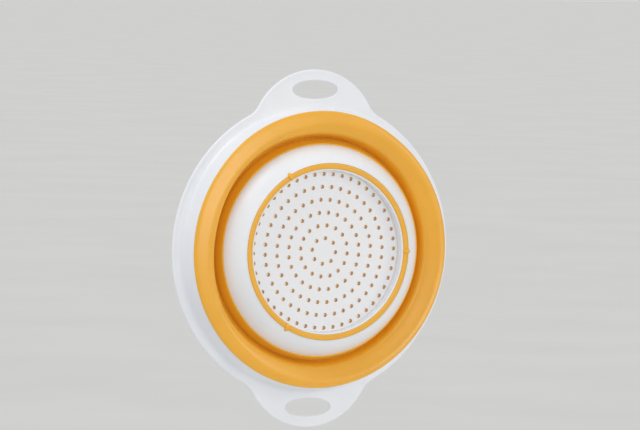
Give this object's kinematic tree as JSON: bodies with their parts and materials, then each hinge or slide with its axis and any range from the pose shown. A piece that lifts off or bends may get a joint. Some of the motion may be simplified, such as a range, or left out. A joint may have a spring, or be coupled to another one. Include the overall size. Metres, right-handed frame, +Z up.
{
  "type": "collapsible colander",
  "caption": "Collapsible colander, folded flat: a rigid rim with slotted handles, a soft membrane folded in a V that rolls out, and a perforated base with a soft-gripped foot.",
  "frame": {"origin": "the edge of the upper handle slot that rests on a hook, halfway through the flange", "axes": "+Z up along the handles, -Y from the rim towards the base (the outside, which faces the viewer when it hangs), +X to the viewer's right"},
  "size_m": [0.24, 0.0372, 0.2856],
  "materials": {
    "rigid_white": "satin moulded polypropylene",
    "plate_white": "fine spark-eroded texture",
    "soft_orange": "soft matte elastomer with a silky sheen"
  },
  "bodies": {
    "rim": {"rim_frame": "rigid_white", "fold": "soft_orange"},
    "base": {"mid_ring": "rigid_white", "base_ring": "soft_orange", "base_plate": "plate_white", "base_liner": "soft_orange", "foot_1": "soft_orange", "foot_2": "soft_orange", "foot_3": "soft_orange"}
  },
  "joints": [
    {"name": "fold_out", "type": "slide", "parent": "rim", "child": "base", "axis": [0, -1, 0], "range_m": [0, 0.034], "deforming": ["fold"]}
  ]
}
